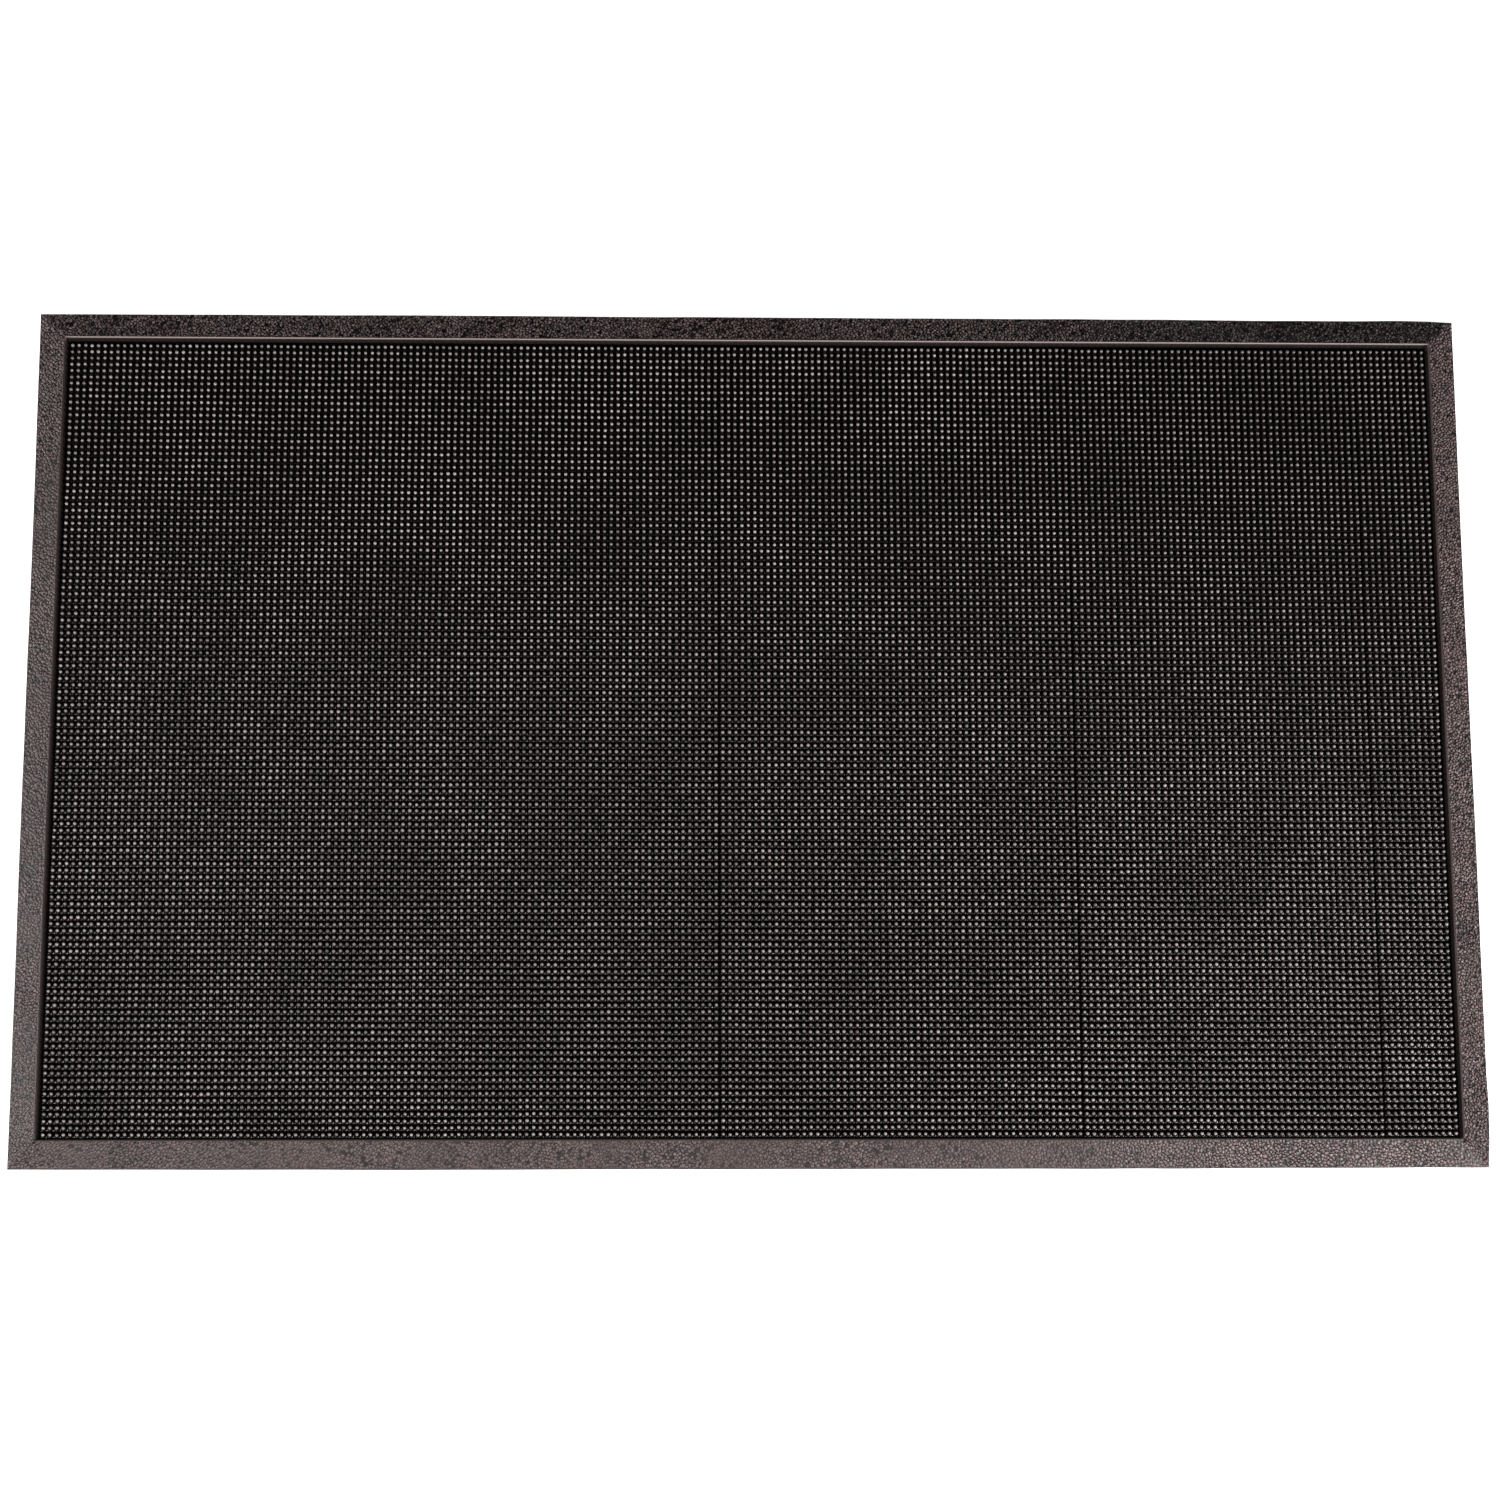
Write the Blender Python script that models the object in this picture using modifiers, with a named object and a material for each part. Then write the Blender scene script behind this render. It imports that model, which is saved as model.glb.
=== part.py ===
"""A rubber scraper mat for a doorway: one moulded panel of fingers inside four mitred ramp edgings.

Units are metres and +Z is up. The origin is the middle of the underside. +X runs along the long
side, and +Y points to the back edging, so a person who walks in steps over the front edging at -Y.
"""

import math

import bmesh
import bpy
from mathutils import Matrix, Vector

# ---- The whole mat ----
MAT_LENGTH = 0.762
MAT_WIDTH = 0.4572

# ---- The finger panel: a flat web with fingers in straight rows and columns ----
WEB_THICKNESS = 0.0022
FINGER_HEIGHT = 0.0050
FINGER_FOOT_DIAMETER = 0.0027
FINGER_TIP_DIAMETER = 0.0015
COLUMN_PITCH = 0.003469
ROW_PITCH = 0.003505
FINGER_MARGIN = 0.0034  # least distance from the crest of an edging to the nearest finger's axis
RIB_SINK = 0.0005  # how deep a rib's root is sunk into the web, so that the two join

# ---- The edging: a ramp from a thin toe up to a crest, and a wall that leans in to the fingers ----
RAMP_WIDTH = 0.0147  # from the outer edge to the crest
TOE_HEIGHT = 0.0018
TOE_RADIUS = 0.0007
CREST_HEIGHT = WEB_THICKNESS + FINGER_HEIGHT  # level with the finger tips, before it is rounded
CREST_RADIUS = 0.0006
WALL_LEAN = 0.0011  # how far the wall's foot stands inside the crest
LAP_WIDTH = 0.0080  # the panel's margin that lies in the edging's rebate, from the wall's foot

# ---- Clearances ----
GLUE_GAP = 0.0003  # between the panel and an edging, all round the lap
MITRE_GAP = 0.0003  # between two edgings, across the mitre
WELD_DISTANCE = 0.000001

ROUND_STEPS = 4  # flats in each rounded corner of the edging's profile
SMOOTH_ANGLE = math.radians(30)

# ---- Finishes: colour, roughness, metallic ----
FINGER_RUBBER = ("finger_rubber", (0.045, 0.043, 0.043, 1.0), 0.50, 0.0)
EDGING_RUBBER = ("edging_rubber", (0.085, 0.072, 0.072, 1.0), 0.55, 0.0)


def clear_scene():
    for obj in list(bpy.data.objects):
        bpy.data.objects.remove(obj, do_unlink=True)


def new_collection(name):
    collection = bpy.data.collections.new(name)
    bpy.context.scene.collection.children.link(collection)
    return collection


def rubber(finish):
    name, colour, roughness, metallic = finish
    material = bpy.data.materials.new(name)
    material.use_nodes = True
    shader = material.node_tree.nodes["Principled BSDF"]
    shader.inputs["Base Color"].default_value = colour
    shader.inputs["Roughness"].default_value = roughness
    shader.inputs["Metallic"].default_value = metallic
    return material


def mesh_object(name, shape, collection):
    """An object in this collection from a bmesh, which is freed."""
    bmesh.ops.recalc_face_normals(shape, faces=shape.faces)
    mesh = bpy.data.meshes.new(name)
    shape.to_mesh(mesh)
    shape.free()
    obj = bpy.data.objects.new(name, mesh)
    collection.objects.link(obj)
    return obj


def block(length, width, height):
    """A box that stands on z = 0, centred in x and y."""
    shape = bmesh.new()
    bmesh.ops.create_cube(shape, size=1.0)
    bmesh.ops.scale(shape, vec=(length, width, height), verts=shape.verts)
    bmesh.ops.translate(shape, vec=(0, 0, height / 2), verts=shape.verts)
    return shape


# ---- The finger panel ----


def fingers_that_fit(side, pitch):
    """How many fingers stand along one side of the mat, between the edgings."""
    room = side - 2 * (RAMP_WIDTH + FINGER_MARGIN)
    return math.floor(room / pitch) + 1


def rib_width(finger_diameter):
    """The rib that holds, at this level, the same rubber as a row of fingers of this diameter."""
    return math.pi / 4 * finger_diameter**2 / COLUMN_PITCH


def finger_ribs(helpers):
    """One tapered rib for each row of fingers, set out from front to back."""
    columns = fingers_that_fit(MAT_LENGTH, COLUMN_PITCH)
    rows = fingers_that_fit(MAT_WIDTH, ROW_PITCH)
    rib_length = (columns - 1) * COLUMN_PITCH + FINGER_FOOT_DIAMETER
    shape = block(rib_length, rib_width(FINGER_FOOT_DIAMETER), FINGER_HEIGHT + RIB_SINK)
    narrowing = rib_width(FINGER_TIP_DIAMETER) / rib_width(FINGER_FOOT_DIAMETER)
    for vertex in shape.verts:
        if vertex.co.z > RIB_SINK:
            vertex.co.y *= narrowing
    ribs = mesh_object("finger_ribs", shape, helpers)
    ribs.location = (0, -(rows - 1) * ROW_PITCH / 2, WEB_THICKNESS - RIB_SINK)
    ribs.hide_render = True
    ribs.display_type = "WIRE"
    pattern = ribs.modifiers.new("rows", "ARRAY")
    pattern.count = rows
    pattern.use_relative_offset = False
    pattern.use_constant_offset = True
    pattern.constant_offset_displace = (0, ROW_PITCH, 0)
    return ribs


def finger_panel(parts, helpers, material):
    """The web, whose margin lies in the edgings' rebates, with the rows of fingers on it."""
    hidden_by_edging = RAMP_WIDTH + WALL_LEAN - LAP_WIDTH + GLUE_GAP
    length = MAT_LENGTH - 2 * hidden_by_edging
    width = MAT_WIDTH - 2 * hidden_by_edging
    panel = mesh_object("finger_panel", block(length, width, WEB_THICKNESS), parts)
    union = panel.modifiers.new("rows_of_fingers", "BOOLEAN")
    union.operation = "UNION"
    union.solver = "EXACT"
    union.object = finger_ribs(helpers)
    panel.data.materials.append(material)
    return panel


# ---- The edgings ----


def rounded(corner, before, after, radius):
    """Points of the arc that rounds the corner between two straight sides, from before to after."""
    to_before = (before - corner).normalized()
    to_after = (after - corner).normalized()
    half_angle = to_before.angle(to_after) / 2
    middle = (to_before + to_after).normalized()
    centre = corner + middle * (radius / math.sin(half_angle))
    reach = radius / math.tan(half_angle)
    start = corner + to_before * reach - centre
    turn = start.angle_signed(corner + to_after * reach - centre)
    turns = [-turn * step / ROUND_STEPS for step in range(ROUND_STEPS + 1)]
    return [centre + Matrix.Rotation(angle, 2) @ start for angle in turns]


def edging_outline():
    """The edging's section: x is the distance in from the mat's outer edge, and y is the height."""
    ground = Vector((0, 0))
    toe = Vector((0, TOE_HEIGHT))
    crest = Vector((RAMP_WIDTH, CREST_HEIGHT))
    rebate_top = WEB_THICKNESS + GLUE_GAP
    wall_foot = Vector((RAMP_WIDTH + WALL_LEAN, rebate_top))
    rebate_end = Vector((RAMP_WIDTH + WALL_LEAN - LAP_WIDTH, rebate_top))
    rebate_floor = Vector((rebate_end.x, 0))
    return [
        ground,
        *rounded(toe, ground, crest, TOE_RADIUS),
        *rounded(crest, toe, wall_foot, CREST_RADIUS),
        wall_foot,
        rebate_end,
        rebate_floor,
    ]


def extruded(name, outline, length):
    """The outline, in x and y, made this long along z, as a bmesh."""
    curve = bpy.data.curves.new(name, "CURVE")
    curve.dimensions = "2D"
    curve.fill_mode = "BOTH"
    curve.extrude = length / 2
    spline = curve.splines.new("POLY")
    spline.points.add(len(outline) - 1)
    for point, (x, y) in zip(spline.points, outline):
        point.co = (x, y, 0, 1)
    spline.use_cyclic_u = True
    guide = bpy.data.objects.new(name, curve)
    bpy.context.scene.collection.objects.link(guide)
    bpy.context.view_layer.update()
    graph = bpy.context.evaluated_depsgraph_get()
    mesh = bpy.data.meshes.new_from_object(guide.evaluated_get(graph))
    bpy.data.objects.remove(guide)
    shape = bmesh.new()
    shape.from_mesh(mesh)
    bpy.data.meshes.remove(mesh)
    bmesh.ops.remove_doubles(shape, verts=shape.verts, dist=WELD_DISTANCE)
    return shape


def cut_mitre(shape, end, length):
    """Cuts the end of an edging (1 for +x, -1 for -x) along the corner's diagonal, and caps it."""
    outward = Vector((end, 1, 0)).normalized()
    corner = Vector((end * length / 2, 0, 0))
    cut = bmesh.ops.bisect_plane(
        shape,
        geom=[*shape.verts, *shape.edges, *shape.faces],
        dist=WELD_DISTANCE,
        plane_co=corner - outward * MITRE_GAP / 2,
        plane_no=outward,
        clear_outer=True,
    )
    rim = [item for item in cut["geom_cut"] if isinstance(item, bmesh.types.BMEdge)]
    bmesh.ops.edgeloop_fill(shape, edges=rim)


def edging(name, length, distance, turn, parts, material):
    """One ramp edging of this outer length. Its outer edge is at this distance from the middle."""
    shape = extruded(name, edging_outline(), length)
    lay_along_x = Matrix(((0, 0, 1), (1, 0, 0), (0, 1, 0))).to_4x4()
    bmesh.ops.transform(shape, matrix=lay_along_x, verts=shape.verts)
    for end in (1, -1):
        cut_mitre(shape, end, length)
    strip = mesh_object(name, shape, parts)
    strip.rotation_euler = (0, 0, turn)
    strip.location = Matrix.Rotation(turn, 3, "Z") @ Vector((0, -distance, 0))
    strip.data.shade_smooth()
    strip.data.set_sharp_from_angle(angle=SMOOTH_ANGLE)
    strip.data.materials.append(material)
    return strip


def build():
    clear_scene()
    parts = new_collection("door_mat")
    helpers = new_collection("helpers")
    finger_panel(parts, helpers, rubber(FINGER_RUBBER))
    edging_material = rubber(EDGING_RUBBER)
    half_length = MAT_LENGTH / 2
    half_width = MAT_WIDTH / 2
    edging("front_edging", MAT_LENGTH, half_width, 0, parts, edging_material)
    edging("right_edging", MAT_WIDTH, half_length, math.pi / 2, parts, edging_material)
    edging("back_edging", MAT_LENGTH, half_width, math.pi, parts, edging_material)
    edging("left_edging", MAT_WIDTH, half_length, -math.pi / 2, parts, edging_material)


build()
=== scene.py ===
# %% [markdown]
# # A finger-top scraper mat
#
# The real mat is one sheet of black rubber that stands up in thousands of small tapered fingers,
# held in a sloping rubber edging with a pebbled grain. Shoes bend the fingers, and the fingers
# scrape the shoes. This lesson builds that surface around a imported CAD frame, which already fixes
# every size and place, so the work here is shape in the small, and finish.

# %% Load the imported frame
from math import pi, radians, sin, tan

import bpy
import numpy as np
from mathutils import Matrix, Vector


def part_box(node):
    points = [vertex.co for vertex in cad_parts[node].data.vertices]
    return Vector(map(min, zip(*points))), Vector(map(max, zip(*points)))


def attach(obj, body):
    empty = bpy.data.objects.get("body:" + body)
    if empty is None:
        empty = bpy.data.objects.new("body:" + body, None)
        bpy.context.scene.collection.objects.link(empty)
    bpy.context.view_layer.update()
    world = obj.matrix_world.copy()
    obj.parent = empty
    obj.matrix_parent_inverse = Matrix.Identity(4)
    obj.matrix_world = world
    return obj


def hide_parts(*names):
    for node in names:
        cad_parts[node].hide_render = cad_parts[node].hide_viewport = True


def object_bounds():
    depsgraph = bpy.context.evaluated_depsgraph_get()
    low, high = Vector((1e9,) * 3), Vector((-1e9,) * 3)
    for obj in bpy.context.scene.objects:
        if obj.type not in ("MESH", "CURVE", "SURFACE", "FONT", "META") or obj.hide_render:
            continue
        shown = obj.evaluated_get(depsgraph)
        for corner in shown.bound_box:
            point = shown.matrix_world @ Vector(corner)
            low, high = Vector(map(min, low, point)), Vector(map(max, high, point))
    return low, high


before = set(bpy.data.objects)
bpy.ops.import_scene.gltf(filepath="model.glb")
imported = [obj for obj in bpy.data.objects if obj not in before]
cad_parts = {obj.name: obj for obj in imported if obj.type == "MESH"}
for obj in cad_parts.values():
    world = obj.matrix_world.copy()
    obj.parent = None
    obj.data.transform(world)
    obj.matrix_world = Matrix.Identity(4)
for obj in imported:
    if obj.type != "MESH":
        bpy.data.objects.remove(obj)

cad_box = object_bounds()
print("CAD box, mm:", [round(1000 * side, 1) for side in cad_box[1] - cad_box[0]])

# %% [markdown]
# The frame's boxes give the places. The mat's outline comes from the whole box, the height of the
# finger tips and the reach of the web from the panel, and the foot of the inner wall from the front
# and right edgings. Nothing below is placed by eye if the frame can say it.

# %% Read the places that the frame gives
panel_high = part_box("finger_panel")[1]
front_edging_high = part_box("front_edging")[1]
right_edging_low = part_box("right_edging")[0]

half_length = cad_box[1].x
half_width = cad_box[1].y
tip_height = panel_high.z
web_half_length = panel_high.x
web_half_width = panel_high.y
wall_foot_x = right_edging_low.x
wall_foot_y = -front_edging_high.y
print(f"mat {2000 * half_length:.1f} x {2000 * half_width:.1f} mm, tips at {1000 * tip_height:.1f} mm")
print(f"web {2000 * web_half_length:.1f} x {2000 * web_half_width:.1f} mm")
print(f"wall foot {1000 * wall_foot_x:.1f} mm right and {1000 * wall_foot_y:.1f} mm front of the middle")

# %% [markdown]
# Moulded rubber is never quite regular, so most shapes below ask for a little unevenness. Random
# numbers come from one seeded generator, and slow unevenness from a small table of random values
# that is read with smooth steps between them. Both give the same mat on every run.

# %% Unevenness that repeats on every run
SEED = 71
TABLE_SIDE = 1024
TABLE_MIDDLE = 500.0
SHIFT_X, SHIFT_Y = 37.3, 91.7
random_numbers = np.random.default_rng(SEED)
noise_table = random_numbers.uniform(-1.0, 1.0, (TABLE_SIDE, TABLE_SIDE))
cell_table = random_numbers.uniform(0.0, 1.0, (TABLE_SIDE, TABLE_SIDE, 3))


def smooth_noise(x, y, size, shift=0.0):
    """Values from -1 to 1 that change over about size metres. shift picks another part of the table."""
    column = x / size + SHIFT_X * shift + TABLE_MIDDLE
    row = y / size + SHIFT_Y * shift + TABLE_MIDDLE
    left, low = np.floor(column).astype(int), np.floor(row).astype(int)
    across, up = column - left, row - low
    across, up = across * across * (3 - 2 * across), up * up * (3 - 2 * up)
    left, low = left % TABLE_SIDE, low % TABLE_SIDE
    right, high = (left + 1) % TABLE_SIDE, (low + 1) % TABLE_SIDE
    below = noise_table[left, low] * (1 - across) + noise_table[right, low] * across
    above = noise_table[left, high] * (1 - across) + noise_table[right, high] * across
    return below * (1 - up) + above * up


def smooth_step(value, start, end):
    """0 up to start, 1 from end on, and an even curve between them."""
    share = np.clip((value - start) / (end - start), 0.0, 1.0)
    return share * share * (3 - 2 * share)


def bell(value, middle, reach):
    """1 at the middle, falling evenly to nearly nothing two reaches away."""
    return np.exp(-((value - middle) / reach) ** 2)


print("noise table:", noise_table.shape, "first value", round(float(noise_table[0, 0]), 4))

# %% [markdown]
# A mesh with hundreds of thousands of corners is too much for one call per vertex. Blender takes
# whole arrays instead: all the points at once, then all the corners of the faces, then where each
# face starts in that list. One helper makes such a piece, and puts it on the frame. A second lays a
# map seen from above on a piece, so that a texture baked from its material keeps the fingers in
# order.

# %% Helpers that turn arrays into a piece
def make_piece(name, points, faces, material, numbers):
    """faces: a list of arrays, one row of corners a face. numbers: named values, one for each point."""
    mesh = bpy.data.meshes.new(name)
    corners = np.concatenate([group.ravel() for group in faces]).astype(np.int32)
    sizes = np.concatenate([np.full(len(group), group.shape[1]) for group in faces])
    starts = np.concatenate([[0], np.cumsum(sizes)[:-1]]).astype(np.int32)
    mesh.vertices.add(len(points))
    mesh.vertices.foreach_set("co", points.astype(np.float32).ravel())
    mesh.loops.add(len(corners))
    mesh.loops.foreach_set("vertex_index", corners)
    mesh.polygons.add(len(sizes))
    mesh.polygons.foreach_set("loop_start", starts)
    mesh.update(calc_edges=True)
    mesh.shade_smooth()
    for label, values in numbers.items():
        attribute = mesh.attributes.new(label, "FLOAT", "POINT")
        attribute.data.foreach_set("value", values.astype(np.float32))
    piece = bpy.data.objects.new(name, mesh)
    bpy.context.scene.collection.objects.link(piece)
    mesh.materials.append(material)
    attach(piece, "root")
    print(f"{name}: {len(points)} points, {int((sizes - 2).sum())} triangles")
    return piece


def map_from_above(piece):
    """A map named OFBake that looks straight down on the piece and fills the square."""
    mesh = piece.data
    corners = np.empty(len(mesh.loops), np.int32)
    mesh.loops.foreach_get("vertex_index", corners)
    points = np.empty(3 * len(mesh.vertices), np.float32)
    mesh.vertices.foreach_get("co", points)
    plan = points.reshape(-1, 3)[:, :2]
    low, high = plan.min(axis=0), plan.max(axis=0)
    spots = (plan[corners] - low) / (high - low)
    layer = mesh.uv_layers.new(name="OFBake")
    layer.data.foreach_set("uv", spots.astype(np.float32).ravel())


# %% [markdown]
# Both rubbers are the same kind of shader: a dark base, a soft broad shine, and a fine bump. The
# helpers here each add one thing to a material's node tree and return the socket that carries it,
# so that each finish only has to say what is special about it.

# %% Helpers that build a rubber
NOISE_LOW, NOISE_HIGH = 0.3, 0.7  # nearly all of a noise lies between these


def start_rubber(name):
    """A new material, its node tree and its shader."""
    material = bpy.data.materials.new(name)
    material.use_nodes = True
    return material, material.node_tree, material.node_tree.nodes["Principled BSDF"]


def add_number(tree, label):
    """A number that the mesh carries for each point."""
    number = tree.nodes.new("ShaderNodeAttribute")
    number.attribute_name = label
    return number.outputs["Fac"]


def add_noise(tree, place, scale, detail):
    """Noise over the object's own coordinates. scale is in features to a metre."""
    noise = tree.nodes.new("ShaderNodeTexNoise")
    noise.inputs["Scale"].default_value = scale
    noise.inputs["Detail"].default_value = detail
    tree.links.new(place, noise.inputs["Vector"])
    return noise.outputs["Fac"]


def add_range(tree, value, low, high, start, end):
    """Turns low to high into start to end, with smooth ends."""
    change = tree.nodes.new("ShaderNodeMapRange")
    change.interpolation_type = "SMOOTHSTEP"
    change.inputs["From Min"].default_value = low
    change.inputs["From Max"].default_value = high
    change.inputs["To Min"].default_value = start
    change.inputs["To Max"].default_value = end
    tree.links.new(value, change.inputs["Value"])
    return change.outputs["Result"]


def add_mix(tree, share, first, second):
    """Mixes two colours. Each is either a socket or three numbers."""
    mix = tree.nodes.new("ShaderNodeMix")
    mix.data_type = "RGBA"
    tree.links.new(share, mix.inputs["Factor"])
    for socket, colour in ((mix.inputs[6], first), (mix.inputs[7], second)):
        if isinstance(colour, tuple):
            socket.default_value = (*colour, 1.0)
        else:
            tree.links.new(colour, socket)
    return mix.outputs[2]


def add_product(tree, first, second):
    """One number times another."""
    product = tree.nodes.new("ShaderNodeMath")
    product.operation = "MULTIPLY"
    tree.links.new(first, product.inputs[0])
    tree.links.new(second, product.inputs[1])
    return product.outputs[0]


def add_fine_grain(tree, shader, grain, roughness, strength, distance):
    """Lets a noise roughen the shader and raise its surface by a little."""
    tree.links.new(add_range(tree, grain, NOISE_LOW, NOISE_HIGH, *roughness), shader.inputs["Roughness"])
    bump = tree.nodes.new("ShaderNodeBump")
    bump.inputs["Strength"].default_value = strength
    bump.inputs["Distance"].default_value = distance
    tree.links.new(grain, bump.inputs["Height"])
    tree.links.new(bump.outputs["Normal"], shader.inputs["Normal"])


# %% [markdown]
# The fingers are a plain black rubber. Their tips are greyer than the flanks: partly dust and wear
# from shoes, partly painted light on the tops. The rubber down between the rows gets painted shade,
# nearly black, and is quite matt. The low lip in front of each row gets a pale painted highlight.
# Height above the web says where on a finger a spot is. Three numbers that the mesh carries say the
# rest: how worn this finger's tip is and how much painted shade it gets, whether the spot is on the
# lip, and how strong the lip's painted highlight is in that part of the mat.

# %% Finger rubber
WEB_THICKNESS = 0.0022
# The root colour is painted shade: the rubber down between the rows is painted nearly black.
ROOT_SHADE_COLOUR = (0.0016, 0.0014, 0.0014)
FLANK_COLOUR = (0.0075, 0.0060, 0.0058)
# The tip colour is partly dust and wear, and partly painted light on the tops of the fingers.
WORN_LIT_TIP_COLOUR = (0.325, 0.281, 0.271)
# The lip colour is a painted highlight: the lip is painted pale where the lamps would light it.
LIP_HIGHLIGHT_COLOUR = (0.950, 0.880, 0.860)
ROOT_SHADE_HEIGHT = 0.0012  # from the web up to where the flank's colour is full
WORN_LIT_TIP_FROM, WORN_LIT_TIP_FULL = 0.0010, 0.0002  # below the tip
DUST_SCALE, DUST_LEAST = 14.0, 0.55
TIP_WEAR_AND_SHADE_LEAST = 0.45
LIP_FROM, LIP_FULL = 0.66, 0.96
FINGER_GRAIN_SCALE = 2600.0
FINGER_ROUGHNESS = (0.42, 0.58)
FINGER_BUMP = (0.35, 0.00008)
SHINE_FROM, SHINE_FULL = 0.0022, 0.0004  # above the web, and below the tip
FINGER_SHINE = (0.01, 0.55)


def finger_colour(tree, place, height):
    """Painted shade at the root, the flank, and a tip greyed by wear and by painted light, all by height,
    with a painted highlight on the lip.
    """
    # Painted shade at the roots: the colour goes from near black at the web up to the flank's.
    out_of_root_shade = add_range(tree, height, WEB_THICKNESS, WEB_THICKNESS + ROOT_SHADE_HEIGHT, 0.0, 1.0)
    worn_lit_tip = add_range(tree, height, tip_height - WORN_LIT_TIP_FROM, tip_height - WORN_LIT_TIP_FULL, 0.0, 1.0)
    patches = add_noise(tree, place, DUST_SCALE, 2.0)
    dust = add_range(tree, patches, NOISE_LOW, NOISE_HIGH, DUST_LEAST, 1.0)
    share = add_range(tree, add_number(tree, "tip_wear_and_painted_shade"), 0.0, 1.0, TIP_WEAR_AND_SHADE_LEAST, 1.0)
    tip_wear_and_light = add_product(tree, add_product(tree, worn_lit_tip, dust), share)
    flank_with_root_shade = add_mix(tree, out_of_root_shade, ROOT_SHADE_COLOUR, FLANK_COLOUR)
    # The lip gets a pale painted highlight, as strong as the mesh's number for it says.
    on_lip = add_range(tree, add_number(tree, "lip"), LIP_FROM, LIP_FULL, 0.0, 1.0)
    lit_lip = add_product(tree, on_lip, add_number(tree, "lip_light"))
    return add_mix(tree, lit_lip, add_mix(tree, tip_wear_and_light, flank_with_root_shade, WORN_LIT_TIP_COLOUR), LIP_HIGHLIGHT_COLOUR)


def finger_rubber():
    """The rubber of the fingers and of the web under them."""
    material, tree, shader = start_rubber("finger_rubber")
    place = tree.nodes.new("ShaderNodeTexCoord").outputs["Object"]
    split = tree.nodes.new("ShaderNodeSeparateXYZ")
    tree.links.new(place, split.inputs["Vector"])
    height = split.outputs["Z"]
    tree.links.new(finger_colour(tree, place, height), shader.inputs["Base Color"])
    grain = add_noise(tree, place, FINGER_GRAIN_SCALE, 3.0)
    add_fine_grain(tree, shader, grain, FINGER_ROUGHNESS, *FINGER_BUMP)
    shine = add_range(tree, height, WEB_THICKNESS + SHINE_FROM, tip_height - SHINE_FULL, *FINGER_SHINE)
    tree.links.new(shine, shader.inputs["Specular IOR Level"])
    return material


finger_material = finger_rubber()
print("finger rubber nodes:", len(finger_material.node_tree.nodes))

# %% [markdown]
# The fingers stand in 121 straight rows of 210. They could be one finger and two array modifiers,
# but a moulded mat is not that even: the mould is put together from blocks, so at three places
# across the mat the columns stand a hair apart, and each finger leans its own small way. So the
# rows and columns are worked out as numbers, and the unevenness is added to them.

# %% Where the fingers stand
COLUMNS = 210
ROWS = 121
COLUMN_PITCH = 0.003469
ROW_PITCH = 0.003505
FIELD_CENTRE_Y = -0.00105
MOULD_SEAMS = (-0.0173, 0.1713, 0.3248)
SEAM_OPENING = 0.00010
SEAM_REACH = 0.005
BLOCK_SHIFT = (0.0, 0.00012, -0.00008, 0.00010)  # how far each block's columns are set back

column_x = (np.arange(COLUMNS) - (COLUMNS - 1) / 2) * COLUMN_PITCH
row_y = (np.arange(ROWS) - (ROWS - 1) / 2) * ROW_PITCH + FIELD_CENTRE_Y


def opened(x):
    """Columns near a mould seam stand a little further from it."""
    for seam in MOULD_SEAMS:
        x = x + SEAM_OPENING * np.sign(x - seam) * np.exp(-abs(x - seam) / SEAM_REACH)
    return x


block_of_column = np.searchsorted(MOULD_SEAMS, column_x)
column_shift_y = np.array(BLOCK_SHIFT)[block_of_column]
column_x = opened(column_x)
print(f"{COLUMNS * ROWS} fingers, x {1000 * column_x[0]:.1f} to {1000 * column_x[-1]:.1f} mm,",
      f"y {1000 * row_y[0]:.1f} to {1000 * row_y[-1]:.1f} mm")

# %% [markdown]
# Each finger now gets its own lean, width, height and tip wear. The lean is part slow, so that
# neighbours lean alike, and part its own. One patch of rows has been pressed back by something
# heavy and hides its tips, and those tips also get painted shade. The tips towards the back right
# get painted shade too, so both are darker.

# %% What makes each finger its own
LEAN = 0.00016
LEAN_X_SIZE, LEAN_Y_SIZE = 0.045, 0.030  # how far apart neighbours still lean alike
OWN_LEAN = 0.6
WIDTH_SPREAD = 0.05
HEIGHT_SPREAD = 0.012
DARK_PATCH = (0.120, 0.134)
DARK_PATCH_SIZE = (0.085, 0.012)
DARK_PATCH_LEAN = 0.00035
DARK_PATCH_PAINTED_SHADE = 0.8
BACK_RIGHT_SHADE_X = (0.08, 0.32)
BACK_RIGHT_SHADE_Y = (-0.05, 0.20)
BACK_RIGHT_SHADE_DEPTH = 0.6

finger_x, finger_y = np.meshgrid(column_x, row_y)
finger_y = finger_y + column_shift_y
patch = np.exp(-((finger_x - DARK_PATCH[0]) / DARK_PATCH_SIZE[0]) ** 4
               - ((finger_y - DARK_PATCH[1]) / DARK_PATCH_SIZE[1]) ** 2)


def own_lean(size, shift):
    """How far each finger's tip leans one way, in metres."""
    slow = smooth_noise(finger_x, finger_y, size, shift)
    return LEAN * (slow + OWN_LEAN * random_numbers.normal(size=finger_x.shape))


lean_x = own_lean(LEAN_X_SIZE, 1)
lean_y = own_lean(LEAN_Y_SIZE, 2) + DARK_PATCH_LEAN * patch
finger_size = 1.0 + WIDTH_SPREAD * random_numbers.normal(size=finger_x.shape).clip(-2, 2)
finger_tall = 1.0 + HEIGHT_SPREAD * random_numbers.normal(size=finger_x.shape).clip(-2, 1)
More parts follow.
